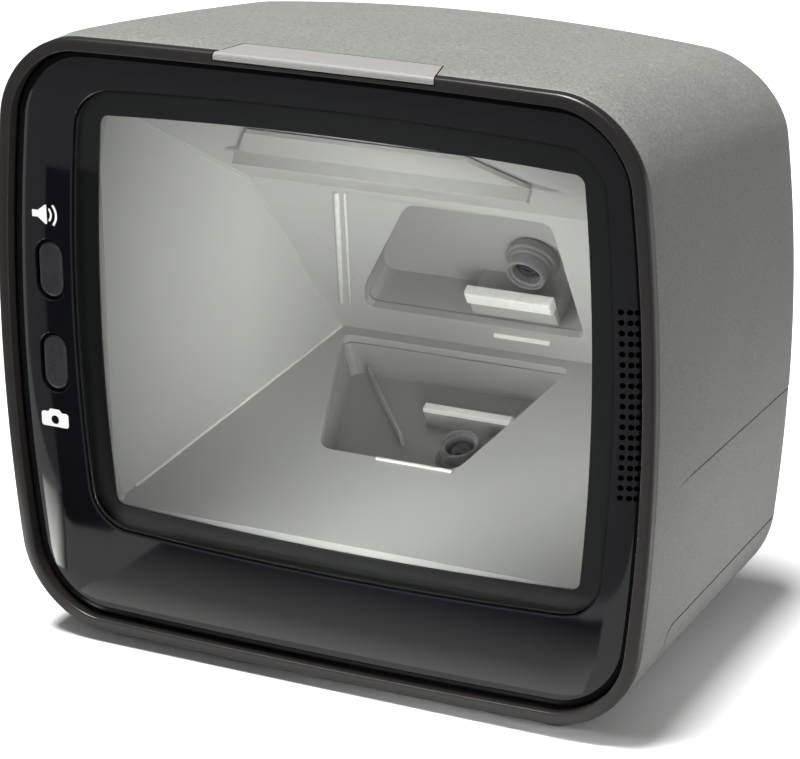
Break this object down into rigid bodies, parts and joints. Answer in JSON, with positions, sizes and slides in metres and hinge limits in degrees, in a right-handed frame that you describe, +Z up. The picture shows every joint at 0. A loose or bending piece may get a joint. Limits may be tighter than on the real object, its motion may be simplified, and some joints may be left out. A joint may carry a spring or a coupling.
{
  "type": "presentation barcode scanner",
  "caption": "Upright counter-top barcode scanner: bowed box housing, gloss front with a large window, two side push buttons, speaker grille and top indicator light.",
  "frame": {"origin": "centre of the footprint, on the surface the feet stand on", "axes": "+Z up, -Y out of the window towards the shopper, +X to the right seen from the front"},
  "size_m": [0.152, 0.094, 0.1375],
  "materials": {
    "housing_plastic": "fine speckled texture, mid grey",
    "rim_plastic": "satin dark taupe",
    "bezel_gloss": "piano black gloss",
    "window_glass": "clear flat glass",
    "mask_black": "black printed border",
    "soft_rubber": "soft matte",
    "light_plastic": "frosted translucent, silver white",
    "chassis_plastic": "light grey, lightly textured",
    "inner_black": "satin black",
    "circuit_board": "green solder mask",
    "steel": "plain steel",
    "lens_glass": "coated lens",
    "label_paper": "blank satin label",
    "ribbon_film": "amber film"
  },
  "bodies": {
    "scanner": {"lower_camera_tray": "inner_black", "lower_lens_barrel": "inner_black", "lower_lens": "lens_glass", "lower_led_bar": "light_plastic", "lower_sensor_board": "circuit_board", "upper_camera_tray": "inner_black", "upper_lens_barrel": "inner_black", "upper_lens": "lens_glass", "upper_led_bar": "light_plastic", "upper_sensor_board": "circuit_board", "ceiling_diffuser": "light_plastic", "ceiling_led_board": "circuit_board", "rear_housing": "housing_plastic", "base_cover": "housing_plastic", "front_rim": "rim_plastic", "front_bezel": "bezel_gloss", "scan_window": "window_glass", "window_mask": "mask_black", "window_gasket": "soft_rubber", "indicator_light_bar": "light_plastic", "indicator_board": "circuit_board", "volume_switch": "inner_black", "camera_switch": "inner_black", "button_board": "circuit_board", "button_board_screw_1": "steel", "button_board_screw_2": "steel", "optics_chassis": "chassis_plastic", "speaker_gasket": "soft_rubber", "speaker_basket": "inner_black", "speaker_cone": "inner_black", "speaker_magnet": "steel", "main_board": "circuit_board", "processor_shield": "steel", "board_screw_1": "steel", "board_screw_2": "steel", "board_screw_3": "steel", "board_screw_4": "steel", "lower_camera_ribbon": "ribbon_film", "upper_camera_ribbon": "ribbon_film", "power_port": "inner_black", "host_port": "inner_black", "aux_port": "inner_black", "foot_1": "soft_rubber", "foot_2": "soft_rubber", "foot_3": "soft_rubber", "foot_4": "soft_rubber", "base_screw_1": "steel", "base_screw_2": "steel", "base_screw_3": "steel", "base_screw_4": "steel", "chassis_screw_1": "steel", "chassis_screw_2": "steel", "rating_label": "label_paper"},
    "volume_press": {"volume_button": "inner_black", "volume_switch_plunger": "steel"},
    "camera_press": {"camera_button": "inner_black", "camera_switch_plunger": "steel"}
  },
  "joints": [
    {"name": "volume_button_press", "type": "slide", "parent": "scanner", "child": "volume_press", "axis": [0, 1, 0], "range_m": [0, 0.0006], "stiffness_N_per_m": 900, "springref_m": -0.0012},
    {"name": "camera_button_press", "type": "slide", "parent": "scanner", "child": "camera_press", "axis": [0, 1, 0], "range_m": [0, 0.0006], "stiffness_N_per_m": 900, "springref_m": -0.0012}
  ]
}
